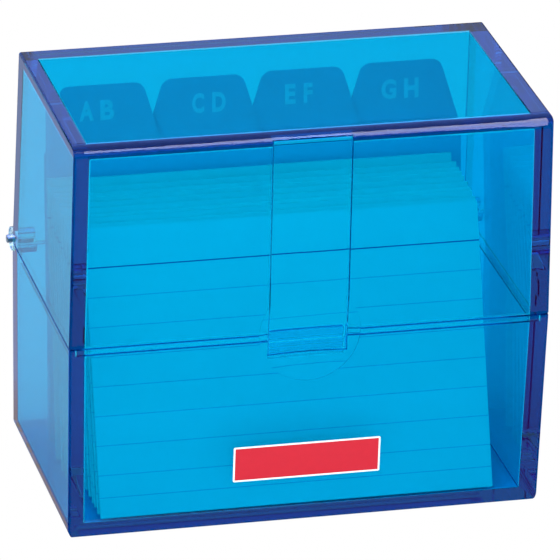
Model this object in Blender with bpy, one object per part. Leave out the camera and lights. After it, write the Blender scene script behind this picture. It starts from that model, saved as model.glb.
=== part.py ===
"""Index card box for A7 cards: a clear tray and a hinged clear lid with a snap tongue.

Metres, +Z up. The origin is the middle of the tray's underside, +X is to the right and
+Y is towards the hinge, so the front with the snap tongue looks along -Y.
"""
import math

import bmesh
import bpy
from mathutils import Matrix, Vector

# The cards, A7 laid across, and the tabbed dividers behind them
CARD_WIDTH = 0.105
CARD_HEIGHT = 0.075
FRONT_CARD_THICKNESS = 0.0004
CARD_FRONT_SPACE = 0.0017
FRONT_LEAN = math.radians(20.2)
REAR_LEAN = math.radians(13.0)
PACK_PLACE_SHARES = (0.0, 0.067, 0.184, 0.254, 0.371, 0.491, 0.587, 0.678, 0.799, 1.0)
PACK_FILL_SHARE = 0.68
PACK_TO_DIVIDER = 0.0026
DIVIDER_OVERHANG = 0.0016
DIVIDER_ABOVE_CARD = 0.0035
DIVIDER_TAB = 0.016
DIVIDER_THICKNESS = 0.0004
DIVIDER_SPACE = 0.0004
DIVIDER_LEAN = math.radians(7.0)
TAB_TAPER = 0.005
TAB_TOP_SHARE = 0.196
TAB_FIRST_SHARE = 0.106
TAB_RADIUS = 0.0022
TAB_SEGMENTS = 4
TAB_NAMES = ("ab", "cd", "ef", "gh")
CARDS_TO_LEFT = 0.00107
DIVIDERS_TO_RIGHT = 0.0011

# The walls of the box and the room that it leaves round the dividers
WALL = 0.0032
SIDE_WALL = 0.0044
FLOOR = 0.003
ROOF = 0.0035
SIDE_ROOM = 0.00492
HEAD_ROOM = 0.0072
BOX_DEPTH = 0.0708
TRAY_HEIGHT = 0.05332
TRAY_DRAFT = 0.0007
LID_SIDE_DRAFT = 0.00073
LID_FRONT_DRAFT = 0.0015
OUTER_RADIUS = 0.0006
INNER_RADIUS = 0.0004
RIM_RADIUS = 0.00025
RIM_SEGMENTS = 2
GAP = 0.0003
OVERRUN = 0.002

# The long oval roundings: the lid's front edge, and the tray's lower edges at the ends and the back
LID_OVAL_BACK = 0.0044
LID_OVAL_DOWN = 0.0023
END_OVAL_IN = 0.0015
END_OVAL_UP = 0.0031
BACK_OVAL_IN = 0.0033
BACK_OVAL_UP = 0.0024
OVAL_PAST_WALL = 0.00004
OVAL_SEGMENTS = 14
EDGE_SEGMENTS = 5
ROUND_SEGMENTS = 32

# The lid's locating lip, which drops into a rebate in the tray's rim
LIP_THICKNESS = 0.0012
SIDE_LIP_THICKNESS = 0.0022
LIP_DEPTH = 0.0019
LIP_END_SPACE = 0.006

# The hinge: an ear at each end of the tray, a knuckle of the lid beside it, a steel pin
HINGE_BEHIND = 0.0016
HINGE_ABOVE = 0.0002
KNUCKLE_RADIUS = 0.0032
EAR_WIDTH = 0.0034
LID_KNUCKLE_WIDTH = 0.006
PIN_RADIUS = 0.0011
PIN_CLEARANCE = 0.0001
PIN_STAND_OUT = 0.0012
PIN_CHAMFER = 0.0002

# The snap tongue, the keeper behind it and the round thumb dish in front
TONGUE_WIDTH = 0.0205
TONGUE_TO_LEFT = 0.0007
TONGUE_THICKNESS = 0.0026
TONGUE_BELOW_RIM = 0.0055
TONGUE_ROOF_LEFT = 0.0011
TONGUE_PIVOT_DOWN = 0.0013
CATCH_DOWN = 0.0036
CATCH_HEIGHT = 0.0012
CATCH_STAND_OUT = 0.00025
KEEPER_MARGIN = -0.0003
KEEPER_THICKNESS = 0.0019
KEEPER_DEPTH = 0.0075
DISH_RADIUS = 0.0134
DISH_TO_LEFT = 0.0003
DISH_RIM = 0.0003
DISH_DEPTH = 0.0015
DISH_SEGMENTS = 48
DISH_RINGS = 5

# Places that several pieces share
DIVIDER_WIDTH = CARD_WIDTH + 2 * DIVIDER_OVERHANG
DIVIDER_BODY = CARD_HEIGHT + DIVIDER_ABOVE_CARD
DIVIDER_HEIGHT = DIVIDER_BODY + DIVIDER_TAB
CARD_BASE = FLOOR + GAP
BOX_WIDTH = DIVIDER_WIDTH + 2 * (SIDE_ROOM + SIDE_WALL)
BOX_HEIGHT = CARD_BASE + DIVIDER_HEIGHT * math.cos(DIVIDER_LEAN) + HEAD_ROOM + ROOF
FRONT_FACE = -BOX_DEPTH / 2
BACK_FACE = BOX_DEPTH / 2
LID_BASE = TRAY_HEIGHT + GAP
INNER_WIDTH = BOX_WIDTH - 2 * SIDE_WALL
INNER_DEPTH = BOX_DEPTH - 2 * WALL
HINGE_Y = BACK_FACE + HINGE_BEHIND
HINGE_Z = TRAY_HEIGHT + HINGE_ABOVE
UPRIGHT = (0.0, 0.0)


def clear_scene():
    for item in list(bpy.data.objects):
        bpy.data.objects.remove(item, do_unlink=True)


def make_material(name, colour, roughness, metallic=0.0):
    material = bpy.data.materials.new(name)
    material.use_nodes = True
    shader = material.node_tree.nodes["Principled BSDF"]
    shader.inputs["Base Color"].default_value = (*colour, 1.0)
    shader.inputs["Roughness"].default_value = roughness
    shader.inputs["Metallic"].default_value = metallic
    return material


def add_object(name, mesh_data, material=None, smooth=True):
    """Turn a bmesh into an object that is shaded smooth over its fillets."""
    bmesh.ops.recalc_face_normals(mesh_data, faces=mesh_data.faces)
    mesh = bpy.data.meshes.new(name)
    mesh_data.to_mesh(mesh)
    mesh_data.free()
    if smooth:
        mesh.shade_smooth()
        mesh.set_sharp_from_angle(angle=math.radians(30))
    item = bpy.data.objects.new(name, mesh)
    bpy.context.scene.collection.objects.link(item)
    if material:
        mesh.materials.append(material)
    return item


def add_tool(name, mesh_data):
    """A cutter or an addition that only a Boolean reads."""
    item = add_object(name, mesh_data)
    item.hide_render = True
    item.display_type = "WIRE"
    return item


def add_pivot(name, place):
    """An empty on a joint's axis, which carries the piece that turns there."""
    pivot = bpy.data.objects.new(name, None)
    pivot.location = place
    bpy.context.scene.collection.objects.link(pivot)
    return pivot


def hang(item, pivot):
    """Let a pivot carry a piece whose mesh already lies in its place."""
    item.parent = pivot
    item.location = -pivot.location


def combine(item, tool, operation):
    modifier = item.modifiers.new(tool.name, "BOOLEAN")
    modifier.operation = operation
    modifier.object = tool
    modifier.solver = "EXACT"


def drafted_block(width, depth, low, high, low_inset, high_inset, radius, rounded_low, rounded_high):
    """A block whose walls slope, with rounded uprights and, if asked, rounded ends.

    The insets are pairs: how far the walls across X and across Y stand in at that end.
    """
    block = bmesh.new()
    bmesh.ops.create_cube(block, size=2)
    for vertex in block.verts:
        inset = low_inset if vertex.co.z < 0 else high_inset
        vertex.co.x *= width / 2 - inset[0]
        vertex.co.y *= depth / 2 - inset[1]
        vertex.co.z = low if vertex.co.z < 0 else high
    middle = (low + high) / 2
    edges = []
    for edge in block.edges:
        ends = [vertex.co.z > middle for vertex in edge.verts]
        upright = ends[0] != ends[1]
        if upright or (rounded_high and all(ends)) or (rounded_low and not any(ends)):
            edges.append(edge)
    bmesh.ops.bevel(block, geom=edges, offset=radius, offset_type="OFFSET", segments=EDGE_SEGMENTS,
                    profile=0.5, affect="EDGES", clamp_overlap=True, material=-1)
    return block


def plain_block(x_range, y_range, z_range):
    block = bmesh.new()
    bmesh.ops.create_cube(block, size=1)
    size = [high - low for low, high in (x_range, y_range, z_range)]
    middle = [(high + low) / 2 for low, high in (x_range, y_range, z_range)]
    bmesh.ops.scale(block, vec=Vector(size), verts=block.verts)
    bmesh.ops.translate(block, vec=Vector(middle), verts=block.verts)
    return block


def rod(radius, x_start, x_end, y, z, chamfer=0.0):
    """A round bar along X, with a small chamfer at each end if asked."""
    bar = bmesh.new()
    bmesh.ops.create_cone(bar, cap_ends=True, segments=ROUND_SEGMENTS, radius1=radius, radius2=radius,
                          depth=x_end - x_start)
    bmesh.ops.rotate(bar, cent=Vector(), matrix=Matrix.Rotation(math.pi / 2, 3, "Y"), verts=bar.verts)
    if chamfer:
        rims = [edge for edge in bar.edges if abs(edge.verts[0].co.x - edge.verts[1].co.x) < chamfer]
        bmesh.ops.bevel(bar, geom=rims, offset=chamfer, offset_type="OFFSET", segments=1, profile=0.5,
                        affect="EDGES", clamp_overlap=True, material=-1)
    bmesh.ops.translate(bar, vec=Vector(((x_start + x_end) / 2, y, z)), verts=bar.verts)
    return bar


def dish_cutter():
    """The thumb dish: a shallow round hollow with a small upright rim, centred on the rim line."""
    cap_depth = DISH_DEPTH - DISH_RIM
    sphere = (DISH_RADIUS ** 2 + cap_depth ** 2) / (2 * cap_depth)
    cutter = bmesh.new()
    profile = []
    for step in range(DISH_RINGS + 1):
        radius = DISH_RADIUS * step / DISH_RINGS
        rise = sphere - math.sqrt(sphere ** 2 - radius ** 2)
        profile.append(Vector((radius, DISH_DEPTH - rise, 0)))
    profile.append(Vector((DISH_RADIUS, -OVERRUN, 0)))
    profile.append(Vector((0, -OVERRUN, 0)))
    verts = [cutter.verts.new(point) for point in profile]
    edges = [cutter.edges.new(pair) for pair in zip(verts, verts[1:])]
    bmesh.ops.spin(cutter, geom=verts + edges, cent=Vector(), axis=Vector((0, 1, 0)), dvec=Vector(),
                   angle=2 * math.pi, steps=DISH_SEGMENTS, use_merge=True)
    bmesh.ops.remove_doubles(cutter, verts=cutter.verts, dist=GAP / 10)
    bmesh.ops.translate(cutter, vec=Vector((-DISH_TO_LEFT, FRONT_FACE, TRAY_HEIGHT)), verts=cutter.verts)
    return add_tool("dish_cutter", cutter)


def oval_cutter(name, along, corner, across, up):
    """What a long oval rounding takes off an edge that runs along X or Y.

    The corner is the edge's place across and in height. Across and up, with their signs, reach
    from it into the body as far as the rounding goes.
    """
    side, height = corner
    out_side = side - math.copysign(OVERRUN, across)
    out_height = height - math.copysign(OVERRUN, up)
    outline = [(side + across, out_height), (out_side, out_height), (out_side, height + up)]
    for step in range(OVAL_SEGMENTS + 1):
        turn = math.pi / 2 * step / OVAL_SEGMENTS
        outline.append((side + across * (1 - math.cos(turn)), height + up * (1 - math.sin(turn))))
    cutter = bmesh.new()
    reach = Vector((BOX_WIDTH, 0, 0)) if along == "X" else Vector((0, BOX_WIDTH, 0))
    spread = Vector((0, 1, 0)) if along == "X" else Vector((1, 0, 0))
    verts = [cutter.verts.new(spread * place + Vector((0, 0, z)) - reach) for place, z in outline]
    grown = bmesh.ops.extrude_face_region(cutter, geom=[cutter.faces.new(verts)])
    moved = [item for item in grown["geom"] if isinstance(item, bmesh.types.BMVert)]
    bmesh.ops.translate(cutter, vec=2 * reach, verts=moved)
    return add_tool(name, cutter)


def soften_rim(block, height):
    """Round the edge loop at one height a little, where tray and lid meet."""
    rim = [edge for edge in block.edges if all(abs(vertex.co.z - height) < RIM_RADIUS / 2 for vertex in edge.verts)]
    bmesh.ops.bevel(block, geom=rim, offset=RIM_RADIUS, offset_type="OFFSET", segments=RIM_SEGMENTS,
                    profile=0.5, affect="EDGES", clamp_overlap=True, material=-1)


def end_range(side, start, width):
    """An X range of a given width that starts at a distance inside one end of the box."""
    outer = side * (BOX_WIDTH / 2 - start)
    inner = side * (BOX_WIDTH / 2 - start - width)
    return min(outer, inner), max(outer, inner)


def hinge_rod(side, start, width, radius, chamfer=0.0):
    low, high = end_range(side, start, width)
    return rod(radius, low, high, HINGE_Y, HINGE_Z, chamfer)


def tongue_range(half):
    """An X range that reaches to both sides of the tongue's middle line."""
    return -TONGUE_TO_LEFT - half, -TONGUE_TO_LEFT + half


def lip_ends(name, half_front_gap):
    """Where the lip and its rebate are left out: at the tongue and along the hinge side."""
    low = TRAY_HEIGHT - KEEPER_DEPTH
    high = LID_BASE
    front = plain_block(tongue_range(half_front_gap), (FRONT_FACE - OVERRUN, FRONT_FACE + 2 * WALL),
                        (low, high))
    back = plain_block((-BOX_WIDTH, BOX_WIDTH), (BACK_FACE - WALL - LIP_END_SPACE, HINGE_Y + BOX_DEPTH),
                       (low, high))
    return add_tool(name + "_at_tongue", front), add_tool(name + "_at_hinge", back)


def build_tray(material, dish):
    """The open tray: drafted walls, rebated rim, keeper behind the tongue and two hinge ears."""
    draft = (TRAY_DRAFT, TRAY_DRAFT)
    block = drafted_block(BOX_WIDTH, BOX_DEPTH, 0, TRAY_HEIGHT, draft, UPRIGHT, OUTER_RADIUS, True, False)
    soften_rim(block, TRAY_HEIGHT)
    tray = add_object("tray", block, material)
    slope = TRAY_DRAFT / TRAY_HEIGHT
    end_x = BOX_WIDTH / 2 - TRAY_DRAFT + slope * END_OVAL_UP + OVAL_PAST_WALL
    back_y = BACK_FACE - TRAY_DRAFT + slope * BACK_OVAL_UP + OVAL_PAST_WALL
    for side, end in ((-1, "left"), (1, "right")):
        oval = oval_cutter("tray_oval_" + end, "Y", (side * end_x, 0), -side * END_OVAL_IN, END_OVAL_UP)
        combine(tray, oval, "DIFFERENCE")
    combine(tray, oval_cutter("tray_oval_back", "X", (back_y, 0), -BACK_OVAL_IN, BACK_OVAL_UP), "DIFFERENCE")
    cavity = drafted_block(INNER_WIDTH, INNER_DEPTH, FLOOR, TRAY_HEIGHT + OVERRUN, draft, UPRIGHT,
                           INNER_RADIUS, True, False)
    combine(tray, add_tool("tray_cavity", cavity), "DIFFERENCE")
    half_keeper = TONGUE_WIDTH / 2 + GAP + KEEPER_MARGIN
    inner_front = FRONT_FACE + WALL
    keeper = plain_block(tongue_range(half_keeper), (inner_front - GAP, inner_front + KEEPER_THICKNESS),
                         (TRAY_HEIGHT - KEEPER_DEPTH, TRAY_HEIGHT - GAP))
    combine(tray, add_tool("tray_keeper", keeper), "UNION")
    for side, end in ((-1, "left"), (1, "right")):
        ear = hinge_rod(side, 0, EAR_WIDTH, KNUCKLE_RADIUS)
        combine(tray, add_tool("tray_ear_" + end, ear), "UNION")
    rebate = drafted_block(INNER_WIDTH + 2 * (SIDE_LIP_THICKNESS + GAP), INNER_DEPTH + 2 * (LIP_THICKNESS + GAP),
                           TRAY_HEIGHT - LIP_DEPTH - GAP, TRAY_HEIGHT + GAP / 2, UPRIGHT, UPRIGHT,
                           INNER_RADIUS, False, False)
    rebate_tool = add_tool("tray_rebate", rebate)
    for stop in lip_ends("rebate", half_keeper):
        combine(rebate_tool, stop, "DIFFERENCE")
    combine(tray, rebate_tool, "DIFFERENCE")
    half_notch = TONGUE_WIDTH / 2 + GAP
    notch = plain_block(tongue_range(half_notch), (FRONT_FACE - OVERRUN, inner_front + GAP),
                        (TRAY_HEIGHT - TONGUE_BELOW_RIM - GAP, TRAY_HEIGHT + OVERRUN))
    combine(tray, add_tool("tray_notch", notch), "DIFFERENCE")
    groove_low = TRAY_HEIGHT - CATCH_DOWN - CATCH_HEIGHT
    groove = plain_block(tongue_range(half_notch), (inner_front, inner_front + GAP + 2 * CATCH_STAND_OUT),
                         (groove_low, groove_low + 2 * CATCH_HEIGHT))
    combine(tray, add_tool("tray_groove", groove), "DIFFERENCE")
    for side, end in ((-1, "left"), (1, "right")):
        relief = hinge_rod(side, EAR_WIDTH, LID_KNUCKLE_WIDTH + 2 * GAP, KNUCKLE_RADIUS + GAP)
        combine(tray, add_tool("tray_relief_" + end, relief), "DIFFERENCE")
        bore = hinge_rod(side, -OVERRUN, EAR_WIDTH + 2 * OVERRUN, PIN_RADIUS + PIN_CLEARANCE)
        combine(tray, add_tool("tray_bore_" + end, bore), "DIFFERENCE")
    combine(tray, dish, "DIFFERENCE")


def tongue_front(height):
    """Y of the lid's sloping front plane at a height."""
    slope = LID_FRONT_DRAFT / (BOX_HEIGHT - LID_BASE)
    return FRONT_FACE + slope * (height - LID_BASE)


def build_lid(material, cutters, pivot):
    """The lid: a drafted shell with a lip, a full-height slot for the tongue and two knuckles."""
    draft = (LID_SIDE_DRAFT, LID_FRONT_DRAFT)
    block = drafted_block(BOX_WIDTH, BOX_DEPTH, LID_BASE, BOX_HEIGHT, UPRIGHT, draft, OUTER_RADIUS, False, True)
    soften_rim(block, LID_BASE)
    lid = add_object("lid", block, material)
    lip = drafted_block(INNER_WIDTH + 2 * SIDE_LIP_THICKNESS, INNER_DEPTH + 2 * LIP_THICKNESS,
                        TRAY_HEIGHT - LIP_DEPTH, LID_BASE + GAP, UPRIGHT, UPRIGHT, INNER_RADIUS, False, False)
    lip_tool = add_tool("lid_lip", lip)
    half_slot = TONGUE_WIDTH / 2 + GAP
    for stop in lip_ends("lip", half_slot + KEEPER_MARGIN + GAP):
        combine(lip_tool, stop, "DIFFERENCE")
    combine(lid, lip_tool, "UNION")
    for side, end in ((-1, "left"), (1, "right")):
        knuckle = hinge_rod(side, EAR_WIDTH + GAP, LID_KNUCKLE_WIDTH, KNUCKLE_RADIUS)
        combine(lid, add_tool("lid_knuckle_" + end, knuckle), "UNION")
    cavity_low = TRAY_HEIGHT - LIP_DEPTH - OVERRUN
    cavity_top = BOX_HEIGHT - ROOF
    cavity = drafted_block(INNER_WIDTH, INNER_DEPTH, cavity_low, cavity_top, UPRIGHT, draft,
                           INNER_RADIUS, False, True)
    combine(lid, add_tool("lid_cavity", cavity), "DIFFERENCE")
    slot_back = tongue_front(BOX_HEIGHT) + WALL + INNER_RADIUS
    slot = plain_block(tongue_range(half_slot), (FRONT_FACE - OVERRUN, slot_back),
                       (cavity_low, BOX_HEIGHT - TONGUE_ROOF_LEFT))
    combine(lid, add_tool("lid_slot", slot), "DIFFERENCE")
    for side, end in ((-1, "left"), (1, "right")):
        relief = hinge_rod(side, -OVERRUN, EAR_WIDTH + OVERRUN + GAP, KNUCKLE_RADIUS + GAP)
        combine(lid, add_tool("lid_relief_" + end, relief), "DIFFERENCE")
        bore = hinge_rod(side, EAR_WIDTH - OVERRUN, LID_KNUCKLE_WIDTH + 2 * OVERRUN,
                         PIN_RADIUS + PIN_CLEARANCE)
        combine(lid, add_tool("lid_bore_" + end, bore), "DIFFERENCE")
    for cutter in cutters:
        combine(lid, cutter, "DIFFERENCE")
    hang(lid, pivot)


def build_tongue(material, cutters):
    """The snap tongue: a springy strip of the lid's front, with a catch rib near its lower end."""
    low = TRAY_HEIGHT - TONGUE_BELOW_RIM
    high = BOX_HEIGHT - TONGUE_ROOF_LEFT - GAP
    left, right = tongue_range(TONGUE_WIDTH / 2)
    strip = bmesh.new()
    outline = [(tongue_front(low), low), (tongue_front(low) + TONGUE_THICKNESS, low),
               (tongue_front(high) + TONGUE_THICKNESS, high), (tongue_front(high), high)]
    face = strip.faces.new([strip.verts.new((left, y, z)) for y, z in outline])
    grown = bmesh.ops.extrude_face_region(strip, geom=[face])
    moved = [item for item in grown["geom"] if isinstance(item, bmesh.types.BMVert)]
    bmesh.ops.translate(strip, vec=Vector((TONGUE_WIDTH, 0, 0)), verts=moved)
    tongue = add_object("latch_tongue", strip, material)
    rib_top = TRAY_HEIGHT - CATCH_DOWN + CATCH_HEIGHT / 2
    strip_back = tongue_front(rib_top) + TONGUE_THICKNESS
    rib = plain_block((left + GAP, right - GAP), (strip_back - GAP, FRONT_FACE + WALL + CATCH_STAND_OUT),
                      (rib_top - CATCH_HEIGHT, rib_top))
    combine(tongue, add_tool("tongue_rib", rib), "UNION")
    for cutter in cutters:
        combine(tongue, cutter, "DIFFERENCE")
    pivot_z = high - TONGUE_PIVOT_DOWN
    hang(tongue, add_pivot("tongue_pivot", (0, tongue_front(pivot_z) + TONGUE_THICKNESS / 2, pivot_z)))


def build_pins(material):
    """Two headless steel pins, driven in from the ends, that stand out a little."""
    length = PIN_STAND_OUT + EAR_WIDTH + LID_KNUCKLE_WIDTH
    for side, end in ((-1, "left"), (1, "right")):
        bar = hinge_rod(side, -PIN_STAND_OUT, length, PIN_RADIUS, PIN_CHAMFER)
        add_object("hinge_pin_" + end, bar, material)


def sheet(outline_points, rounded, thickness):
    """A flat sheet in the XZ plane with chosen corners rounded, its back a thickness behind it."""
    flat = bmesh.new()
    verts = [flat.verts.new((x, 0, z)) for x, z in outline_points]
    flat.faces.new(verts)
    bmesh.ops.bevel(flat, geom=[verts[place] for place in rounded], offset=TAB_RADIUS, offset_type="OFFSET",
                    segments=TAB_SEGMENTS, profile=0.5, affect="VERTICES", clamp_overlap=True, material=-1)
    grown = bmesh.ops.extrude_face_region(flat, geom=flat.faces[:])
    moved = [item for item in grown["geom"] if isinstance(item, bmesh.types.BMVert)]
    bmesh.ops.translate(flat, vec=Vector((0, thickness, 0)), verts=moved)
    return flat


def stand_sheet(name, flat, material, lean, front_y, thickness, middle_x):
    """Lean a sheet back about its lower front edge, with its lower rear edge just over the floor."""
    item = add_object(name, flat, material, smooth=False)
    item.rotation_euler = (-lean, 0, 0)
    item.location = (middle_x, front_y, CARD_BASE + thickness * math.sin(lean))


def divider_front_y(index):
    """Lower front edge of a divider: the rearmost one leans on the lid's back wall."""
    top_z = CARD_BASE + DIVIDER_HEIGHT * math.cos(DIVIDER_LEAN)
    wall_slope = LID_FRONT_DRAFT / (BOX_HEIGHT - LID_BASE)
    rest_y = BACK_FACE - WALL - wall_slope * (top_z - LID_BASE) - GAP
    places_to_wall = len(TAB_NAMES) - index
    pitch = (DIVIDER_THICKNESS + DIVIDER_SPACE) / math.cos(DIVIDER_LEAN)
    return rest_y - places_to_wall * pitch - DIVIDER_HEIGHT * math.sin(DIVIDER_LEAN)


def build_cards(material):
    """The front card by itself and the packs that fan back from it to the dividers."""
    front_y = FRONT_FACE + WALL + CARD_FRONT_SPACE
    front_top_y = front_y + CARD_HEIGHT * math.sin(FRONT_LEAN)
    pack_top_z = CARD_HEIGHT * math.cos(REAR_LEAN)
    divider_y = divider_front_y(0) + pack_top_z * math.tan(DIVIDER_LEAN)
    # A pack fills a share of the smallest step from one pack to the next, across its own faces.
    steps = [high - low for low, high in zip(PACK_PLACE_SHARES, PACK_PLACE_SHARES[1:])]
    fill = PACK_FILL_SHARE * min(steps) * math.cos(FRONT_LEAN)
    top_room = divider_y - PACK_TO_DIVIDER - front_top_y
    top_range = top_room / (1 + fill / math.cos(REAR_LEAN))
    pack_thickness = fill * top_range
    rear_top_y = front_top_y + top_range
    rear_y = rear_top_y - CARD_HEIGHT * math.sin(REAR_LEAN)
    half = CARD_WIDTH / 2
    outline = [(-half, 0), (half, 0), (half, CARD_HEIGHT), (-half, CARD_HEIGHT)]
    for index, share in enumerate(PACK_PLACE_SHARES):
        low_y = front_y + share * (rear_y - front_y)
        top_y = front_top_y + share * (rear_top_y - front_top_y)
        lean = math.asin((top_y - low_y) / CARD_HEIGHT)
        name = "card_pack_%d" % index if index else "front_card"
        thickness = pack_thickness if index else FRONT_CARD_THICKNESS
        stand_sheet(name, sheet(outline, (), thickness), material, lean, low_y, thickness, -CARDS_TO_LEFT)


def divider_outline(position):
    """A sheet with one tapered tab; the first tab's left side is straight with the sheet's edge."""
    half = DIVIDER_WIDTH / 2
    half_top = TAB_TOP_SHARE * DIVIDER_WIDTH / 2
    first = TAB_FIRST_SHARE * DIVIDER_WIDTH - half
    last = half - TAB_TAPER - half_top
    middle = first + (last - first) * position / (len(TAB_NAMES) - 1)
    points = [(-half, 0), (half, 0), (half, DIVIDER_BODY)]
    if position < len(TAB_NAMES) - 1:
        points.append((middle + half_top + TAB_TAPER, DIVIDER_BODY))
    points.append((middle + half_top, DIVIDER_HEIGHT))
    if position:
        left = middle - half_top
        points += [(left, DIVIDER_HEIGHT), (left - TAB_TAPER, DIVIDER_BODY), (-half, DIVIDER_BODY)]
    else:
        points.append((-half, DIVIDER_HEIGHT))
    rounded = [place for place, (x, z) in enumerate(points) if z == DIVIDER_HEIGHT]
    return points, rounded


def build_dividers(material):
    for index, letters in enumerate(TAB_NAMES):
        points, rounded = divider_outline(index)
        flat = sheet(points, rounded, DIVIDER_THICKNESS)
        stand_sheet("divider_" + letters, flat, material, DIVIDER_LEAN, divider_front_y(index),
                    DIVIDER_THICKNESS, DIVIDERS_TO_RIGHT)


def build_box():
    clear_scene()
    clear_blue = make_material("clear_blue_polystyrene", (0.0, 0.36, 0.75), 0.05)
    steel = make_material("bright_steel", (0.6, 0.6, 0.58), 0.25, 1.0)
    card = make_material("white_card", (0.9, 0.9, 0.88), 0.8)
    divider = make_material("blue_polypropylene", (0.05, 0.2, 0.55), 0.4)
    dish = dish_cutter()
    build_tray(clear_blue, dish)
    oval_corner = (tongue_front(BOX_HEIGHT - LID_OVAL_DOWN), BOX_HEIGHT)
    lid_cutters = (dish, oval_cutter("lid_oval_front", "X", oval_corner, LID_OVAL_BACK, -LID_OVAL_DOWN))
    build_lid(clear_blue, lid_cutters, add_pivot("hinge_pivot", (0, HINGE_Y, HINGE_Z)))
    build_tongue(clear_blue, lid_cutters)
    build_pins(steel)
    build_cards(card)
    build_dividers(divider)


build_box()
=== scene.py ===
import math
import random

import bmesh
import bpy
from mathutils import Matrix, Vector


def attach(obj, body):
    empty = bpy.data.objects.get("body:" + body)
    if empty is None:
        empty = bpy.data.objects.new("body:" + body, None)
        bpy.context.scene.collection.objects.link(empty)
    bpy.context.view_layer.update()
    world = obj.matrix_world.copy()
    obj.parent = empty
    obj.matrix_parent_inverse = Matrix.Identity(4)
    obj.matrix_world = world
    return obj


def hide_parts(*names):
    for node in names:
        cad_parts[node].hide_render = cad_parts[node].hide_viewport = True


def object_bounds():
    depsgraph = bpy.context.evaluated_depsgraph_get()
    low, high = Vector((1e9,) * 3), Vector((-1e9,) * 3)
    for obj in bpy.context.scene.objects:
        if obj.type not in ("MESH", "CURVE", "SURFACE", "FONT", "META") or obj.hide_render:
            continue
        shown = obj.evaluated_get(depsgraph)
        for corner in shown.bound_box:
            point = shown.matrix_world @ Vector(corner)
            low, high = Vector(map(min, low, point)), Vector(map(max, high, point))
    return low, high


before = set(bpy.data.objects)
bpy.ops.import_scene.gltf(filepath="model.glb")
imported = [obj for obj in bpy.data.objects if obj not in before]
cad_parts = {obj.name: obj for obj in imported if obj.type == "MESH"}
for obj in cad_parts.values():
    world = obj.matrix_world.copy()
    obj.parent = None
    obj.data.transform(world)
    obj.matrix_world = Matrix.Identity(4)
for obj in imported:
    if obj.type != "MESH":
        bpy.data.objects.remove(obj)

cad_low, cad_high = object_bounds()

# The studio: a camera with a long lens, a white floor and soft light from all round.
# The place, the direction and the lens are those at which the box was photographed.
# Glowing cards that only mirror images show, further down, paint the pale bands along the edges as painted
# reflections.
CAMERA_PLACE = Vector((-0.377992, -1.440398, 0.711352))
CAMERA_AHEAD = Vector((0.232473, 0.884489, -0.404518))
CAMERA_RIGHT = Vector((0.96989, -0.241865, 0.028543))
CAMERA_LENS = 400.9
CAMERA_SENSOR = 36.0
CAMERA_REACH = 24.0
FLOOR_HALF = 6.0
FLOOR_BELOW = 0.0001
FLOOR_WHITE = "#F6F6F6"
FLOOR_SEEN = "#FFFFFF"
FLOOR_ROUGHNESS = 0.9
# Painted reflection: the floor's colours in mirror images only, behind the box and in front of it.
FLOOR_PAINTED_REFLECTION = (0.28, 0.36, 0.5, 1.0)
FLOOR_PAINTED_REFLECTION_AHEAD = (0.01, 0.01, 0.01, 1.0)
FLOOR_AHEAD_Y = -0.03
# Painted shadow: the floor's colour by the right end, seen through the clear walls.
FLOOR_PAINTED_SHADOW = "#A8CEE2"
RIGHT_END_X = 0.06
RIGHT_END_Y = 0.215
SKY_WHITE = "#FFFFFF"
SKY_STRENGTH = 0.9
# Painted reflection: the sky's colours in mirror images only, low down and high up.
SKY_PAINTED_REFLECTION_LOW = (0.02, 0.03, 0.05, 1.0)
SKY_PAINTED_REFLECTION_HIGH = (0.7, 1.2, 3.6, 1.0)
SKY_HIGH_FROM = 0.415
LIGHT_BOUNCES = 24


def linear(hex_colour):
    """An sRGB hex colour as the linear red, green, blue and alpha that a socket takes."""
    parts = [int(hex_colour[place:place + 2], 16) / 255 for place in (1, 3, 5)]
    return (*[part / 12.92 if part <= 0.04045 else ((part + 0.055) / 1.055) ** 2.4 for part in parts], 1.0)


def node(tree, kind, settings=None, **values):
    """Adds a node. Settings are its own fields; values go to inputs, and a socket there is linked."""
    made = tree.nodes.new(kind)
    for field, value in (settings or {}).items():
        setattr(made, field, value)
    for name, value in values.items():
        place = int(name[2:]) if name.startswith("in") and name[2:].isdigit() else name.replace("_", " ")
        socket = made.inputs[place]
        if isinstance(value, bpy.types.NodeSocket):
            tree.links.new(value, socket)
        else:
            socket.default_value = value
    return made


def maths(tree, operation, *inputs):
    """The result of one step of arithmetic on sockets or numbers."""
    values = {"in%d" % place: value for place, value in enumerate(inputs)}
    return node(tree, "ShaderNodeMath", {"operation": operation}, **values).outputs[0]


def blend(tree, share, first, second):
    """The colour between two others, at a share from nought to one."""
    return node(tree, "ShaderNodeMix", {"data_type": "RGBA"}, in0=share, in6=first, in7=second).outputs[2]


def new_material(name):
    """An empty node material with its output node."""
    material = bpy.data.materials.new(name)
    material.use_nodes = True
    material.node_tree.nodes.clear()
    return material, material.node_tree, material.node_tree.nodes.new("ShaderNodeOutputMaterial")


def mirror_rays(tree):
    """One for rays that a surface mirrors, nought for all others, also for refracted ones."""
    path = node(tree, "ShaderNodeLightPath")
    straight = maths(tree, "SUBTRACT", 1.0, path.outputs["Is Transmission Ray"])
    return maths(tree, "MULTIPLY", path.outputs["Is Glossy Ray"], straight)


camera_data = bpy.data.cameras.new("camera")
camera_data.lens = CAMERA_LENS
camera_data.sensor_width = CAMERA_SENSOR
camera_data.clip_end = CAMERA_REACH
camera = bpy.data.objects.new("camera", camera_data)
bpy.context.scene.collection.objects.link(camera)
ahead = CAMERA_AHEAD.normalized()
right = (CAMERA_RIGHT - ahead * CAMERA_RIGHT.dot(ahead)).normalized()
camera.matrix_world = Matrix.Translation(CAMERA_PLACE) @ Matrix(
    (right, right.cross(ahead), -ahead)).transposed().to_4x4()
bpy.context.scene.camera = camera
bpy.context.scene.view_settings.view_transform = "Standard"
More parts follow.
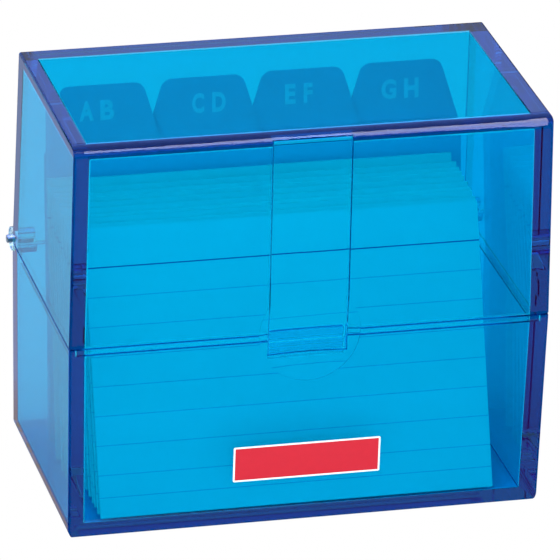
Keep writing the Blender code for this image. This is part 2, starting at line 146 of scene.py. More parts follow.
# Light runs a long way inside the clear walls, from side to side, before it leaves them.
bpy.context.scene.cycles.max_bounces = LIGHT_BOUNCES
bpy.context.scene.cycles.glossy_bounces = LIGHT_BOUNCES
bpy.context.scene.cycles.transmission_bounces = LIGHT_BOUNCES
bpy.context.scene.cycles.transparent_max_bounces = LIGHT_BOUNCES

# The floor lies a hair below the box, so that the two faces don't meet in one plane.
floor_mesh = bmesh.new()
bmesh.ops.create_grid(floor_mesh, x_segments=1, y_segments=1, size=FLOOR_HALF)
bmesh.ops.translate(floor_mesh, vec=Vector((0, 0, -FLOOR_BELOW)), verts=floor_mesh.verts)
floor_data = bpy.data.meshes.new("studio_floor")
floor_mesh.to_mesh(floor_data)
floor_mesh.free()
studio_floor = bpy.data.objects.new("studio_floor", floor_data)
bpy.context.scene.collection.objects.link(studio_floor)
floor_paint, tree, output = new_material("white_studio_floor")
# Painted reflection: in mirror images only, the floor is painted blue behind the box and dark in front of it.
floor_place = node(tree, "ShaderNodeTexCoord")
floor_parts = node(tree, "ShaderNodeSeparateXYZ", Vector=floor_place.outputs["Object"])
behind = maths(tree, "GREATER_THAN", floor_parts.outputs[1], FLOOR_AHEAD_Y)
floor_painted_reflection = blend(tree, behind, FLOOR_PAINTED_REFLECTION_AHEAD, FLOOR_PAINTED_REFLECTION)
# Painted shadow: seen through the clear walls, the floor by the right end is painted bluer, where the box's
# own shadow falls.
by_end = maths(tree, "GREATER_THAN", floor_parts.outputs[0], RIGHT_END_X)
near_box = maths(tree, "LESS_THAN", floor_parts.outputs[1], RIGHT_END_Y)
refracted_ray = node(tree, "ShaderNodeLightPath").outputs["Is Transmission Ray"]
through = maths(tree, "MULTIPLY", maths(tree, "MULTIPLY", by_end, near_box), refracted_ray)
floor_direct = blend(tree, through, linear(FLOOR_WHITE), linear(FLOOR_PAINTED_SHADOW))
floor_shade = blend(tree, mirror_rays(tree), floor_direct, floor_painted_reflection)
paint = node(tree, "ShaderNodeBsdfPrincipled", Base_Color=floor_shade, Roughness=FLOOR_ROUGHNESS,
             Specular_IOR_Level=0.0)
# The camera itself sees the floor as plain white.
floor_glow = node(tree, "ShaderNodeEmission", Color=linear(FLOOR_SEEN))
seen = node(tree, "ShaderNodeMixShader", Fac=node(tree, "ShaderNodeLightPath").outputs["Is Camera Ray"],
            in1=paint.outputs[0], in2=floor_glow.outputs[0])
tree.links.new(seen.outputs[0], output.inputs["Surface"])
floor_data.materials.append(floor_paint)

world = bpy.data.worlds.new("studio")
bpy.context.scene.world = world
world.use_nodes = True
sky = world.node_tree
direction = node(sky, "ShaderNodeTexCoord")
sky_parts = node(sky, "ShaderNodeSeparateXYZ", Vector=direction.outputs["Generated"])
# Painted reflection: in mirror images only, the sky is painted dark low down and blue high up.
high_up = maths(sky, "GREATER_THAN", sky_parts.outputs[2], SKY_HIGH_FROM)
sky_painted_reflection = blend(sky, high_up, SKY_PAINTED_REFLECTION_LOW, SKY_PAINTED_REFLECTION_HIGH)
sky_shade = blend(sky, mirror_rays(sky), linear(SKY_WHITE), sky_painted_reflection)
sky.links.new(sky_shade, sky.nodes["Background"].inputs["Color"])
sky.nodes["Background"].inputs["Strength"].default_value = SKY_STRENGTH


def soft_lamp(name, place, aim, size, power):
    """A square lamp that looks from its place at a point."""
    light = bpy.data.lights.new(name, "AREA")
    light.shape = "SQUARE"
    light.size = size
    light.energy = power
    lamp = bpy.data.objects.new(name, light)
    lamp.location = place
    lamp.rotation_euler = (aim - place).to_track_quat("-Z", "Y").to_euler()
    bpy.context.scene.collection.objects.link(lamp)
    return lamp


# How far off a card stands, where nothing is in its way, and its least height over the floor.
MIRROR_CARD_FAR = 0.8
MIRROR_CARD_LOW = 0.0003


def mirror_card(name, rows, glow, lowest=MIRROR_CARD_LOW, far=MIRROR_CARD_FAR):
    """A painted reflection: a glowing card that only mirror images show, placed so that the camera finds it
    in given points.

    Each row holds two points of a shiny face, with the normal at each.
    """
    card = bmesh.new()
    laid = []
    for row in rows:
        ends = []
        for point, normal in row:
            sight = (point - CAMERA_PLACE).normalized()
            line = sight - 2 * normal.normalized() * sight.dot(normal.normalized())
            reach = far if line.z > 0 else min(far, (lowest - point.z) / line.z)
            ends.append(card.verts.new(point + line * reach))
        laid.append(ends)
    for before, after in zip(laid, laid[1:]):
        card.faces.new((before[0], after[0], after[1], before[1]))
    data = bpy.data.meshes.new(name)
    card.to_mesh(data)
    card.free()
    glowing, tree, output = new_material(name + "_glow")
    light = node(tree, "ShaderNodeEmission", Color=glow)
    tree.links.new(light.outputs[0], output.inputs["Surface"])
    glowing.cycles.emission_sampling = "NONE"
    data.materials.append(glowing)
    shown = bpy.data.objects.new(name, data)
    bpy.context.scene.collection.objects.link(shown)
    shown.visible_camera = False
    shown.visible_diffuse = False
    shown.visible_transmission = False
    shown.visible_shadow = False


# The pale light on the lid's top edges, left, back and right, is a painted reflection of three such cards.
ROOF_PAINTED_REFLECTION, ROOF_BACK_PAINTED_REFLECTION = (0.68, 1.03, 2.4, 1.0), (0.66, 0.74, 0.8, 1.0)
ROOF_Z = cad_high.z
ROOF_HALF_X, ROOF_FRONT_Y, ROOF_BACK_Y = 0.0632, -0.0302, 0.0344
ROOF_INNER_X, ROOF_INNER_BACK_Y = (-0.05892, 0.05766), 0.0283
roof_bands = {
    "left": (((-ROOF_HALF_X, ROOF_FRONT_Y), (ROOF_INNER_X[0], ROOF_FRONT_Y)),
             ((-ROOF_HALF_X, ROOF_INNER_BACK_Y), (ROOF_INNER_X[0], ROOF_INNER_BACK_Y))),
    "back": (((-ROOF_HALF_X, ROOF_INNER_BACK_Y), (ROOF_HALF_X, ROOF_INNER_BACK_Y)),
             ((-ROOF_HALF_X, ROOF_BACK_Y), (ROOF_HALF_X, ROOF_BACK_Y))),
    "right": (((ROOF_INNER_X[1], ROOF_FRONT_Y), (ROOF_HALF_X, ROOF_FRONT_Y)),
              ((ROOF_INNER_X[1], ROOF_INNER_BACK_Y), (ROOF_HALF_X, ROOF_INNER_BACK_Y))),
}
for side, rows in roof_bands.items():
    facing = [[(Vector((x, y, ROOF_Z)), Vector((0, 0, 1))) for x, y in row] for row in rows]
    mirror_card("mirror_card_" + side, facing, ROOF_BACK_PAINTED_REFLECTION if side == "back" else ROOF_PAINTED_REFLECTION)

# The streak along the lid's rounded front edge is a painted highlight, and widens to the right. Each row
# gives X in millimetres and how far the edge has turned up, in degrees, where the streak begins and ends. Its
# card stands close to the edge, so that the roof doesn't mirror it from behind.
STREAK_PAINTED_HIGHLIGHT, STREAK_CARD_FAR = (16.7, 13.9, 13.0, 1.0), 0.0015
STREAK_ROWS = ((-60, 43, 58), (-43, 43, 57), (-14, 41, 60), (30, 34, 61), (41, 27, 60), (49, 21, 61),
               (54, 15, 61), (58, 6, 65), (61, 11, 66))
EDGE_LOW, EDGE_DEEP, EDGE_TALL = Vector((0, -0.03397, 0.1055)), 0.00417, 0.0023


def rounded_edge(x, turned):
    """A point of the lid's front top edge, which is an ellipse in section, and the normal there."""
    turned = math.radians(turned)
    along = math.atan2(EDGE_TALL * math.sin(turned), EDGE_DEEP * math.cos(turned))
    point = EDGE_LOW + Vector((x / 1000, EDGE_DEEP * (1 - math.cos(along)), EDGE_TALL * math.sin(along)))
    return point, Vector((0, -math.cos(turned), math.sin(turned)))


streak = [[rounded_edge(x, low), rounded_edge(x, high)] for x, low, high in STREAK_ROWS]
mirror_card("mirror_card_streak", streak, STREAK_PAINTED_HIGHLIGHT, far=STREAK_CARD_FAR)

# The front's end walls and floor, seen edge on, get a touch of violet as a painted reflection. Points are X
# and Z in millimetres.
FRONT_PAINTED_REFLECTION = (1.45, 0.0, 0.0, 1.0)
LOW_PAINTED_REFLECTION = (1.3, 0.7, 0.0, 1.0)
LID_LEAN, TRAY_LEAN = 1.5 / 54.2, -0.7 / 53.32
RIM_Y, RIM_Z = -35.4, 53.5


def front_rows(rows, lean):
    """Rows of points on the front wall of the lid or the tray, with the normal there."""
    return [[(Vector((x, RIM_Y + (z - RIM_Z) * lean, z)) / 1000, Vector((0, -1, lean))) for x, z in row]
            for row in rows]


FRONT_BANDS = (
    ("lid_left", LID_LEAN, FRONT_PAINTED_REFLECTION,
     (((-62.9, 54.2), (-59.67, 54.2)), ((-62.34, 106.1), (-58.98, 105.9)))),
    ("lid_right", LID_LEAN, FRONT_PAINTED_REFLECTION,
     (((58.33, 54.0), (63.3, 54.0)), ((57.71, 105.0), (62.3, 105.0)))),
    ("tray_left", TRAY_LEAN, FRONT_PAINTED_REFLECTION,
     (((-62.95, 53.1), (-59.74, 53.6)), ((-62.5, 0.5), (-58.84, 4.84)))),
    ("tray_low", TRAY_LEAN, LOW_PAINTED_REFLECTION,
     (((-62.5, 0.5), (-58.84, 4.84)), ((62.4, 0.5), (57.7, 3.9)))),
    ("tray_right", TRAY_LEAN, FRONT_PAINTED_REFLECTION,
     (((62.4, 0.5), (57.7, 3.9)), ((62.9, 52.8), (58.29, 52.4)))),
)
for name, lean, glow, rows in FRONT_BANDS:
    mirror_card("mirror_card_" + name, front_rows(rows, lean), glow)

# Where the knuckles and the floor would leave dark patches in the end walls, a painted blue reflection covers
# them.
PATCH_PAINTED_LIGHT, PATCH_LOW = (1.45, 4.0, 8.0, 1.0), 0.0006
FAINT_PAINTED_LIGHT = (1.45, 2.5, 2.0, 1.0)
LOW_PATCH_PAINTED_LIGHT = (1.2, 3.9, 5.2, 1.0)
PATCHES = (
    ("right", LID_LEAN, PATCH_PAINTED_LIGHT, (((58.4, 66.2), (61.9, 65.95)), ((58.38, 70.67), (59.94, 70.55)))),
    ("right_streak", LID_LEAN, PATCH_PAINTED_LIGHT, (((58.1, 72.6), (62.9, 72.4)), ((58.1, 73.85), (62.9, 73.85)))),
    ("left_streak", LID_LEAN, PATCH_PAINTED_LIGHT, (((-62.7, 72.7), (-59.2, 72.7)), ((-62.7, 73.85), (-59.2, 73.85)))),
    ("left_low", LID_LEAN, FAINT_PAINTED_LIGHT, (((-62.7, 70.0), (-59.25, 69.9)), ((-62.7, 71.5), (-59.2, 71.4)))),
    ("left_corner", LID_LEAN, PATCH_PAINTED_LIGHT, (((-59.75, 68.6), (-59.3, 68.6)), ((-60.4, 69.9), (-59.25, 69.9)))),
    ("tray_left", TRAY_LEAN, LOW_PATCH_PAINTED_LIGHT,
     (((-62.56, 20.23), (-59.12, 19.98)), ((-62.52, 18.11), (-59.11, 17.87)))),
    ("tray_left_lean", TRAY_LEAN, FAINT_PAINTED_LIGHT,
     (((-62.39, 18.10), (-60.92, 17.97)), ((-61.30, 15.75), (-60.41, 15.67)),
      ((-60.36, 13.26), (-59.52, 13.18)), ((-59.64, 11.44), (-59.04, 11.39)))),
    ("tray_left_low", TRAY_LEAN, FAINT_PAINTED_LIGHT,
     (((-62.37, 8.36), (-60.64, 8.23)), ((-62.33, 6.23), (-59.70, 5.99)))),
    ("tray_right", TRAY_LEAN, FAINT_PAINTED_LIGHT,
     (((58.04, 19.84), (62.58, 19.50)), ((58.03, 18.36), (62.58, 17.99)))),
    ("tray_right_lean", TRAY_LEAN, FAINT_PAINTED_LIGHT,
     (((59.64, 18.22), (62.58, 17.99)), ((61.11, 15.94), (62.50, 15.82)),
      ((61.96, 14.70), (62.40, 14.67)))),
    ("tray_right_low", TRAY_LEAN, FAINT_PAINTED_LIGHT,
     (((58.04, 13.83), (60.60, 13.66)), ((58.04, 11.56), (61.75, 11.29)))),
)
for name, lean, glow, rows in PATCHES:
    mirror_card("mirror_card_patch_" + name, front_rows(rows, lean), glow, PATCH_LOW)

# The left end is paler along its back, top and bottom edges, by painted reflections. Points are Y and Z in
# millimetres.
END_PAINTED_REFLECTION, TRAY_END_PAINTED_REFLECTION = (0.52, 0.64, 1.08, 1.0), (0.62, 0.5, 0.3, 1.0)
END_X, LID_END_LEAN, TRAY_END_LEAN = -63.42, 0.73 / 54.2, -0.7 / 53.32
LID_END_ROWS = (((28.9, 54.0), (35.2, 54.0)), ((28.9, 105.0), (34.5, 107.5)),
                ((-33.8, 105.2), (-33.4, 107.5)))
TRAY_END_ROWS = (((28.9, 53.0), (35.2, 53.0)), ((28.9, 4.0), (34.5, 0.6)), ((-34.5, 3.6), (-34.5, 0.6)))


def end_rows(rows, lean):
    """Rows of points on the left end of the lid or the tray, with the normal there."""
    return [[(Vector((END_X + (z - RIM_Z) * lean, y, z)) / 1000, Vector((-1, 0, lean))) for y, z in row]
            for row in rows]


mirror_card("mirror_card_lid_end", end_rows(LID_END_ROWS, LID_END_LEAN), END_PAINTED_REFLECTION)
mirror_card("mirror_card_tray_end", end_rows(TRAY_END_ROWS, TRAY_END_LEAN), TRAY_END_PAINTED_REFLECTION)

# The rounded edge between the roof and the left end gets a painted reflection of lavender light too.
EDGE_PAINTED_REFLECTION = (0.6, 0.85, 1.8, 1.0)
EDGE_TURNS = (8, 25, 45, 62, 78)
EDGE_X, EDGE_Z, EDGE_ENDS_Y = -0.0625, 0.1075, (-0.0335, 0.0343)
left_edge = []
for turned in EDGE_TURNS:
    normal = Vector((-math.sin(math.radians(turned)), 0, math.cos(math.radians(turned))))
    left_edge.append([(Vector((EDGE_X, y, EDGE_Z)), normal) for y in EDGE_ENDS_Y])
mirror_card("mirror_card_edge", left_edge, EDGE_PAINTED_REFLECTION)

BOX_MIDDLE = (cad_low + cad_high) / 2
ABOVE_PLACE, ABOVE_SIZE, ABOVE_POWER = Vector((-0.2, -0.2, 1.6)), 0.9, 9.0
LEFT_PLACE, LEFT_SIZE, LEFT_POWER = Vector((-1.3, -0.9, 0.9)), 0.7, 5.0
LOW_PLACE, LOW_AIM, LOW_POWER = Vector((0.0, -0.1, 0.006)), Vector((0.0, -0.02, 0.02)), 0.016
LOW_WIDTH, LOW_HEIGHT = 0.13, 0.01
soft_lamp("lamp_above", ABOVE_PLACE, BOX_MIDDLE, ABOVE_SIZE, ABOVE_POWER)
soft_lamp("lamp_left", LEFT_PLACE, BOX_MIDDLE, LEFT_SIZE, LEFT_POWER)
# A weak lamp low in front lights the feet of the cards, and shows in no mirror image.
low_lamp = soft_lamp("lamp_low", LOW_PLACE, LOW_AIM, LOW_WIDTH, LOW_POWER)
low_lamp.data.shape = "RECTANGLE"
low_lamp.data.size_y = LOW_HEIGHT
low_lamp.visible_camera = False
low_lamp.visible_glossy = False
low_lamp.visible_transmission = False


# The clear blue shells. The real ones are transparent polystyrene, injection moulded and polished.
# The dye takes most of the red at once, and the rest goes slowly with the depth of plastic. So a
# wall looks sky blue, and an edge that is seen along its length turns navy, low down partly by a painted
# glow.
POLYSTYRENE_INDEX = 1.59
POLYSTYRENE_WALL = "#28E1FD"
POLYSTYRENE_LAPPED = "#FFFFFF"
POLYSTYRENE_SHADOW = "#81EFFD"
POLYSTYRENE_SHINE = "#7C90C8"
DEEPER_SHARES = (0.75, 0.9, 0.95)
DEEPER_STEP = 0.003
# After how many turns inside a wall, and up to what height, light counts as caught and shows a painted navy
# glow.
CAUGHT_AFTER = 7.5
CAUGHT_BELOW = 0.0535
CAUGHT_PAINTED_GLOW = (0.08, 0.7, 1.15, 1.0)
MERGE_DISTANCE = 1e-6
FLAT_ANGLE = math.radians(0.05)
SHARP_ANGLE = math.radians(40)
FILLET_ANGLE = math.radians(28)
# Where the walls of the tray, the lid and the tongue overlap, and which faces there count.
LAP_LOW, LAP_HIGH, LAP_TONGUE, LAP_LEAST, LAP_AREA = 0.051, 0.0538, 0.0535, 0.0012, 6e-6
LAP_FACING, LAP_TILT = 0.99, 0.3
HINGE_FROM_Y, HINGE_LOW, HINGE_HIGH = 0.0335, 0.049, 0.058


def clear_polystyrene(name):
    """Transparent polystyrene: the surface colours a wall, absorption colours the depth."""
    material, tree, output = new_material(name)
    laps = node(tree, "ShaderNodeSeparateXYZ", Vector=node(tree, "ShaderNodeTexCoord").outputs["UV"])
    tint = blend(tree, laps.outputs[0], linear(POLYSTYRENE_WALL), linear(POLYSTYRENE_LAPPED))
    shader = node(tree, "ShaderNodeBsdfPrincipled", Base_Color=tint, Roughness=0.0,
                  IOR=POLYSTYRENE_INDEX, Transmission_Weight=1.0, Specular_Tint=linear(POLYSTYRENE_SHINE))
    light_path = node(tree, "ShaderNodeLightPath")
    passed = node(tree, "ShaderNodeBsdfTransparent", Color=linear(POLYSTYRENE_SHADOW))
    # Light that a low wall keeps in for too many turns would end black, and ends in a painted navy glow
    # instead.
    place = node(tree, "ShaderNodeSeparateXYZ", Vector=node(tree, "ShaderNodeTexCoord").outputs["Object"])
    low = maths(tree, "LESS_THAN", place.outputs[2], CAUGHT_BELOW)
    caught = maths(tree, "GREATER_THAN", light_path.outputs["Glossy Depth"], CAUGHT_AFTER)
    caught = maths(tree, "MULTIPLY", caught, low)
    navy = node(tree, "ShaderNodeEmission", Color=CAUGHT_PAINTED_GLOW)
    refracted = node(tree, "ShaderNodeMixShader", Fac=caught, in1=shader.outputs[0], in2=navy.outputs[0])
    material.cycles.emission_sampling = "NONE"
    mixed = node(tree, "ShaderNodeMixShader", Fac=light_path.outputs["Is Shadow Ray"],
                 in1=refracted.outputs[0], in2=passed.outputs[0])
    tree.links.new(mixed.outputs[0], output.inputs["Surface"])
    # The shares of red, green and blue that one step of depth lets through set the absorption.
    losses = [-math.log(share) / DEEPER_STEP for share in DEEPER_SHARES]
    density = max(losses)
    absorb = node(tree, "ShaderNodeVolumeAbsorption", Color=(*[1 - loss / density for loss in losses], 1.0),
                  Density=density)
    tree.links.new(absorb.outputs[0], output.inputs["Volume"])
    return material


def finished(name, mesh_data, material, body, smooth_angle=SHARP_ANGLE):
    """Makes a piece of a bmesh that already lies in its place."""
    mesh = bpy.data.meshes.new(name)
    mesh_data.to_mesh(mesh)
    mesh_data.free()
    mesh.shade_smooth()
    mesh.set_sharp_from_angle(angle=smooth_angle)
    mesh.materials.append(material)
    piece = bpy.data.objects.new(name, mesh)
    bpy.context.scene.collection.objects.link(piece)
    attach(piece, body)
    return piece


def smooth_fillets(mesh):
    """Corner normals averaged by area, only over faces at a vertex that nearly continue each other."""
    around = [[] for vertex in mesh.vertices]
    for face in mesh.polygons:
        for place in face.vertices:
            around[place].append((face.normal.copy(), face.area))
    least = math.cos(FILLET_ANGLE)
    normals = []
    for face in mesh.polygons:
        for place in face.vertices:
            near = [normal * area for normal, area in around[place] if normal.dot(face.normal) > least]
            normals.append(sum(near, Vector()).normalized())
    mesh.normals_split_custom_set(normals)


def lapped(face, node_name):
    """Whether a face lies where two walls overlap. It then takes no tint, and the pair looks like one."""
    heights = [vertex.co.z for vertex in face.verts]
    low, high = min(heights), max(heights)
    if node_name == "latch_tongue":
        return high < LAP_HIGH and abs(face.normal.y) > LAP_FACING and face.calc_area() > LAP_AREA
    by_hinge = min(vertex.co.y for vertex in face.verts) > HINGE_FROM_Y
    if by_hinge and low > HINGE_LOW and high < HINGE_HIGH:
        return True
    middle = face.calc_center_median()
    outward = face.normal.x * middle.x + face.normal.y * middle.y
    upright = high < LAP_HIGH and low > LAP_LOW and abs(face.normal.z) < LAP_TILT
    return upright and high - low > LAP_LEAST and (outward > 0) == (node_name == "lid")


def moulded_copy(node_name, name, material, body):
    """A welded copy of a CAD shell whose fillets shade smoothly into flat walls."""
    shell = bmesh.new()
    shell.from_mesh(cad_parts[node_name].data)
    bmesh.ops.remove_doubles(shell, verts=shell.verts, dist=MERGE_DISTANCE)
    bmesh.ops.dissolve_limit(shell, angle_limit=FLAT_ANGLE, verts=shell.verts, edges=shell.edges)
    if node_name == "latch_tongue":
        bmesh.ops.bisect_plane(shell, geom=shell.verts[:] + shell.edges[:] + shell.faces[:],
                               plane_co=Vector((0, 0, LAP_TONGUE)), plane_no=Vector((0, 0, 1)))
    uv_layer = shell.loops.layers.uv.new("lap")
    for face in shell.faces:
        for loop in face.loops:
            loop[uv_layer].uv = (1.0 if lapped(face, node_name) else 0.0, 0.0)
    piece = finished(name, shell, material, body)
    smooth_fillets(piece.data)
    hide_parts(node_name)


clear_blue = clear_polystyrene("transparent_blue_polystyrene")
moulded_copy("tray", "tray_shell", clear_blue, "tray")
moulded_copy("lid", "lid_shell", clear_blue, "lid")
moulded_copy("latch_tongue", "snap_tongue", clear_blue, "latch")


# The hinge pins: two lengths of bright drawn steel wire, pushed in from the ends of the hinge.
# Drawing leaves fine lines along the wire, which stretch the highlights a little.
STEEL_COLOUR = "#C9C8C4"
STEEL_LINES = (200.0, 6000.0, 6000.0)
STEEL_ROUGH = (0.2, 0.38)


def drawn_steel():
    """Bright steel with fine lines along X."""
    material, tree, output = new_material("bright_drawn_steel_wire")
    place = node(tree, "ShaderNodeTexCoord")
    stretched = node(tree, "ShaderNodeMapping", Vector=place.outputs["Object"], Scale=STEEL_LINES)
    lines = node(tree, "ShaderNodeTexNoise", Vector=stretched.outputs[0], Scale=1.0, Detail=2.0)
    rough = node(tree, "ShaderNodeMapRange", Value=lines.outputs[0], in3=STEEL_ROUGH[0], in4=STEEL_ROUGH[1])
    shader = node(tree, "ShaderNodeBsdfPrincipled", Base_Color=linear(STEEL_COLOUR), Metallic=1.0,
                  Roughness=rough.outputs[0])
    tree.links.new(shader.outputs[0], output.inputs["Surface"])
    return material


steel = drawn_steel()
for side in ("left", "right"):
    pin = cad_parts["hinge_pin_" + side]
    pin.data.materials.clear()
    pin.data.materials.append(steel)


# The cards: the front card and nine loose packs behind it, each drawn as single ruled sheets.
# The sheets of a pack share the depth of its CAD block, so they run into each other, and the rearmost
# one stands half a sheet out of the block. Each is shifted a little to the side from the next.
# The paper is white with fine fibres. A darker line heads the faint blue ruling. The ruling's places
# and half widths are in millimetres down from the card's top edge.
CARD_SHEET = 0.00022
SHEETS_PER_PACK = 10
CARD_SHIFT = 0.00012
HEADER_DOWN = 10.3
RULE_PITCH = 7.66
RULES_END = 67.0
LAST_RULE_DOWN = 69.7
HEADER_HALF = 0.17
RULE_HALF = 0.09
CARD_TALL = 75.0
PAPER_COLOURS = ("#F7F6F1", "#EFEEE9")
RULE_COLOUR, HEADER_COLOUR = "#8FB9D8", "#3568A8"
PAPER_ROUGHNESS = 0.75
FIBRE_SCALE, FIBRE_BUMP, FIBRE_HIGH = 260.0, 0.08, 0.0002
SHEET_RINGS = ((0, 1, 2, 3), (5, 4, 7, 6), (4, 0, 3, 7), (1, 5, 6, 2), (3, 2, 6, 7), (4, 5, 1, 0))


def block_places(node_name):
    """The lower front edge of a leaning CAD sheet, its way up, its way back and its X range."""
    points = [vertex.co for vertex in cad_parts[node_name].data.vertices]
    low_front = min(points, key=lambda point: point.y)
    top_front = max(points, key=lambda point: point.z)
    low_back = min(points, key=lambda point: point.z)
    up = Vector((0, top_front.y - low_front.y, top_front.z - low_front.z))
    back = Vector((0, low_back.y - low_front.y, low_back.z - low_front.z))
    xs = [point.x for point in points]
    return Vector((0, low_front.y, low_front.z)), up, back, min(xs), max(xs)


def ruled_paper():
    """White card with fibres, a header line and faint rules, placed by UV in card heights."""
    material, tree, output = new_material("white_ruled_card")
    place = node(tree, "ShaderNodeTexCoord")
    parts = node(tree, "ShaderNodeSeparateXYZ", Vector=place.outputs["UV"])
    down = maths(tree, "MULTIPLY_ADD", parts.outputs[1], -CARD_TALL, CARD_TALL)
    header = maths(tree, "COMPARE", down, HEADER_DOWN, HEADER_HALF)
    below = maths(tree, "SUBTRACT", down, HEADER_DOWN)
    near = maths(tree, "LESS_THAN", maths(tree, "PINGPONG", below, RULE_PITCH / 2), RULE_HALF)
    after = maths(tree, "GREATER_THAN", below, RULE_PITCH / 2)
    before = maths(tree, "LESS_THAN", down, RULES_END)
    ruled = maths(tree, "MULTIPLY", maths(tree, "MULTIPLY", near, after), before)
    last = maths(tree, "COMPARE", down, LAST_RULE_DOWN, RULE_HALF)
    rules = maths(tree, "MAXIMUM", ruled, last)
    fibres = node(tree, "ShaderNodeTexNoise", Vector=place.outputs["UV"], Scale=FIBRE_SCALE, Detail=3.0)
    plain = blend(tree, fibres.outputs[0], linear(PAPER_COLOURS[0]), linear(PAPER_COLOURS[1]))
    with_rules = blend(tree, rules, plain, linear(RULE_COLOUR))
    with_header = blend(tree, header, with_rules, linear(HEADER_COLOUR))
    bump = node(tree, "ShaderNodeBump", Height=fibres.outputs[0], Strength=FIBRE_BUMP, Distance=FIBRE_HIGH)
    shader = node(tree, "ShaderNodeBsdfPrincipled", Base_Color=with_header, Roughness=PAPER_ROUGHNESS,
                  Normal=bump.outputs[0])
    tree.links.new(shader.outputs[0], output.inputs["Surface"])
    return material


def card_sheets(node_name, name, count, body, material):
    """Draws a CAD block as loose sheets with UV in card heights."""
    low, up, back, x_low, x_high = block_places(node_name)
    step = back / count
    leaf = back.normalized() * CARD_SHEET
    sheets = bmesh.new()
    uv_layer = sheets.loops.layers.uv.new("card")
    for index in range(count):
        shift = Vector((random.uniform(-CARD_SHIFT, CARD_SHIFT) if index else 0.0, 0, 0))
        foot = low + step * index + shift
        corners = [(x_low, 0, 0), (x_high, 0, 0), (x_high, 0, 1), (x_low, 0, 1),
                   (x_low, 1, 0), (x_high, 1, 0), (x_high, 1, 1), (x_low, 1, 1)]
        places = [foot + Vector((x, 0, 0)) + leaf * deep + up * high for x, deep, high in corners]
        verts = [sheets.verts.new(place) for place in places]
        for ring in SHEET_RINGS:
            face = sheets.faces.new([verts[place] for place in ring])
            for loop, place in zip(face.loops, ring):
                x, deep, high = corners[place]
                loop[uv_layer].uv = ((x - x_low) / up.length, high)
    piece = finished(name, sheets, material, body)
    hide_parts(node_name)


SHIFT_SEED = 7
PACKS = 9
random.seed(SHIFT_SEED)
paper = ruled_paper()
card_sheets("front_card", "front_ruled_card", 1, "front_card", paper)
for pack in range(1, PACKS + 1):
    card_sheets("card_pack_%d" % pack, "ruled_cards_%d" % pack, SHEETS_PER_PACK, "tray", paper)


# The dividers: four sheets of pale blue plastic with rounded tabs, as in the CAD.
# Their faces are matt, with a fine grain from the calender rolls.
DIVIDER_COLOUR = "#9BD0E9"
DIVIDER_ROUGH = (0.42, 0.55)
GRAIN_SCALE, GRAIN_BUMP, GRAIN_HIGH = 2600.0, 0.1, 0.0001


def divider_plastic():
    """Pale blue plastic sheet with a fine grain."""
    material, tree, output = new_material("pale_blue_divider_sheet")
    place = node(tree, "ShaderNodeTexCoord")
    grain = node(tree, "ShaderNodeTexNoise", Vector=place.outputs["Object"], Scale=GRAIN_SCALE, Detail=2.0)
    bump = node(tree, "ShaderNodeBump", Height=grain.outputs[0], Strength=GRAIN_BUMP, Distance=GRAIN_HIGH)
    rough = node(tree, "ShaderNodeMapRange", Value=grain.outputs[0], in3=DIVIDER_ROUGH[0],
                 in4=DIVIDER_ROUGH[1])
    shader = node(tree, "ShaderNodeBsdfPrincipled", Base_Color=linear(DIVIDER_COLOUR),
                  Roughness=rough.outputs[0], Normal=bump.outputs[0])
    tree.links.new(shader.outputs[0], output.inputs["Surface"])
    return material


divider_sheet = divider_plastic()
INDEX_LETTERS = ("AB", "CD", "EF", "GH")
for pair in INDEX_LETTERS:
    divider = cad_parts["divider_" + pair.lower()]
    divider.data.materials.clear()
    divider.data.materials.append(divider_sheet)

# The index letters are printed on the tabs in white. Each pair stands a little off its tab's middle.
# Each letter has its left and right edge in box X, in millimetres. Each pair has its foot, in metres
# up the divider.
LETTER_TALL = 0.0054
LETTER_FEET = (0.08494, 0.08471, 0.08518, 0.08433)
LETTER_EDGES = (((-47.86, -43.98), (-42.24, -38.49)), ((-17.45, -14.21), (-12.05, -8.4)),
                ((7.81, 10.66), (12.9, 15.29)), ((34.23, 38.35), (40.46, 44.39)))
LETTER_BOLD = 0.04
LETTER_FILM = 0.00003
LETTER_STEPS = 4
INK_COLOURS = ("#F2FBFF", "#E6F2FA")
INK_SCALE, INK_ROUGHNESS = 900.0, 0.5
PRINT_ANGLE = math.radians(20)


def letter_outline(letter):
    """One capital as flat faces, a unit tall, that starts at X 0."""
    curve = bpy.data.curves.new("letter", "FONT")
    curve.body = letter
    curve.offset = LETTER_BOLD
    curve.resolution_u = LETTER_STEPS
    shown = bpy.data.objects.new("letter", curve)
    bpy.context.scene.collection.objects.link(shown)
    flat = bpy.data.meshes.new_from_object(shown.evaluated_get(bpy.context.evaluated_depsgraph_get()))
    bpy.data.objects.remove(shown)
    bpy.data.curves.remove(curve)
    xs = [vertex.co.x for vertex in flat.vertices]
    ys = [vertex.co.y for vertex in flat.vertices]
    tall = max(ys) - min(ys)
    for vertex in flat.vertices:
        vertex.co.x = (vertex.co.x - min(xs)) / tall
        vertex.co.y = (vertex.co.y - min(ys)) / tall
    return flat, (max(xs) - min(xs)) / tall


def printing_ink():
    """White ink that covers a little unevenly."""
    material, tree, output = new_material("white_printing_ink")
    place = node(tree, "ShaderNodeTexCoord")
    cover = node(tree, "ShaderNodeTexNoise", Vector=place.outputs["Object"], Scale=INK_SCALE)
    colour = blend(tree, cover.outputs[0], linear(INK_COLOURS[0]), linear(INK_COLOURS[1]))
    shader = node(tree, "ShaderNodeBsdfPrincipled", Base_Color=colour, Roughness=INK_ROUGHNESS)
    tree.links.new(shader.outputs[0], output.inputs["Surface"])
    return material


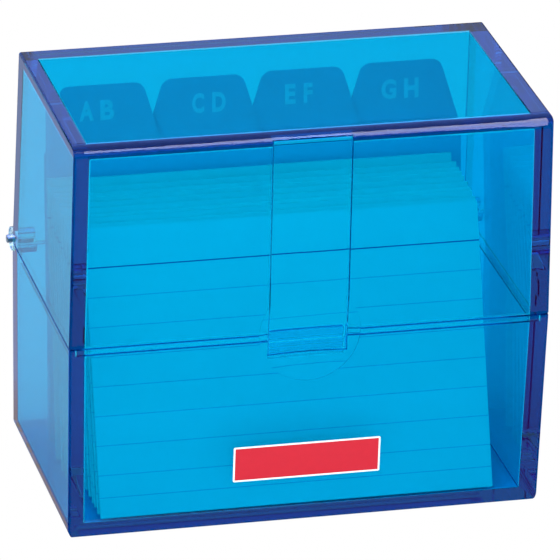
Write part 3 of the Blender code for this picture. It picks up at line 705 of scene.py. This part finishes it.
ink = printing_ink()
for pair, edges, base in zip(INDEX_LETTERS, LETTER_EDGES, LETTER_FEET):
    low, up, back = block_places("divider_" + pair.lower())[:3]
    rise = up.normalized()
    film = -back.normalized() * LETTER_FILM
    letters = bmesh.new()
    for (left, right), letter in zip(edges, pair):
        flat, share = letter_outline(letter)
        old = len(letters.verts)
        letters.from_mesh(flat)
        letters.verts.ensure_lookup_table()
        for vertex in letters.verts[old:]:
            across = left + (right - left) * vertex.co.x / share
            vertex.co = low + Vector((across / 1000, 0, 0)) + rise * (base + vertex.co.y * LETTER_TALL)
        bpy.data.meshes.remove(flat)
    grown = bmesh.ops.extrude_face_region(letters, geom=letters.faces[:])
    moved = [item for item in grown["geom"] if isinstance(item, bmesh.types.BMVert)]
    bmesh.ops.translate(letters, vec=film, verts=moved)
    bmesh.ops.recalc_face_normals(letters, faces=letters.faces)
    finished("letters_" + pair.lower(), letters, ink, "tray", PRINT_ANGLE)


# The sticker on the tray's front: bare red with a narrow white border. The photo's print is left out.
# It is 39 by 10 mm and lies on the drafted front wall.
STICKER_X = (-0.0195, 0.0196)
STICKER_Z = (0.0123, 0.0222)
STICKER_CORNER = 0.0004
STICKER_FILM = 0.0001
STICKER_BORDER = 0.00045
STICKER_STEPS = 4
STICKER_REDS, STICKER_WHITE = ("#D51B33", "#CE172F"), "#FAFAFA"
MOTTLE_SCALE, STICKER_ROUGHNESS = 700.0, 0.4
FOOT_BELOW, RIM_ABOVE = 0.002, 0.05


def sticker_print():
    """Red with a white border, by UV in metres from the sticker's middle."""
    material, tree, output = new_material("red_sticker")
    place = node(tree, "ShaderNodeTexCoord")
    parts = node(tree, "ShaderNodeSeparateXYZ", Vector=place.outputs["UV"])
    inside = []
    for channel, (low, high) in enumerate((STICKER_X, STICKER_Z)):
        from_middle = maths(tree, "ABSOLUTE", parts.outputs[channel])
        inside.append(maths(tree, "LESS_THAN", from_middle, (high - low) / 2 - STICKER_BORDER))
    red = maths(tree, "MULTIPLY", inside[0], inside[1])
    mottle = node(tree, "ShaderNodeTexNoise", Vector=place.outputs["Object"], Scale=MOTTLE_SCALE)
    reds = blend(tree, mottle.outputs[0], linear(STICKER_REDS[0]), linear(STICKER_REDS[1]))
    colour = blend(tree, red, linear(STICKER_WHITE), reds)
    shader = node(tree, "ShaderNodeBsdfPrincipled", Base_Color=colour, Roughness=STICKER_ROUGHNESS)
    tree.links.new(shader.outputs[0], output.inputs["Surface"])
    return material


def tray_front(height):
    """Y of the tray's front wall at a height, from the CAD's outer corners at its foot and its rim."""
    points = [vertex.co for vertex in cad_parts["tray"].data.vertices]
    rim_y = min(point.y for point in points if point.z > RIM_ABOVE)
    low_y = min(point.y for point in points if point.z < FOOT_BELOW)
    return low_y + (rim_y - low_y) * height / RIM_ABOVE


sticker = bmesh.new()
sticker_corners = [(STICKER_X[0], STICKER_Z[0]), (STICKER_X[1], STICKER_Z[0]),
                   (STICKER_X[1], STICKER_Z[1]), (STICKER_X[0], STICKER_Z[1])]
sticker.faces.new([sticker.verts.new((x, tray_front(z), z)) for x, z in sticker_corners])
bmesh.ops.bevel(sticker, geom=sticker.verts[:], offset=STICKER_CORNER, offset_type="OFFSET",
                segments=STICKER_STEPS, profile=0.5, affect="VERTICES", clamp_overlap=True, material=-1)
grown = bmesh.ops.extrude_face_region(sticker, geom=sticker.faces[:])
moved = [item for item in grown["geom"] if isinstance(item, bmesh.types.BMVert)]
bmesh.ops.translate(sticker, vec=Vector((0, -STICKER_FILM, 0)), verts=moved)
bmesh.ops.recalc_face_normals(sticker, faces=sticker.faces)
uv_layer = sticker.loops.layers.uv.new("sticker")
for face in sticker.faces:
    for loop in face.loops:
        loop[uv_layer].uv = (loop.vert.co.x - sum(STICKER_X) / 2, loop.vert.co.z - sum(STICKER_Z) / 2)
red_sticker = finished("red_sticker", sticker, sticker_print(), "tray", PRINT_ANGLE)
red_sticker.visible_shadow = False
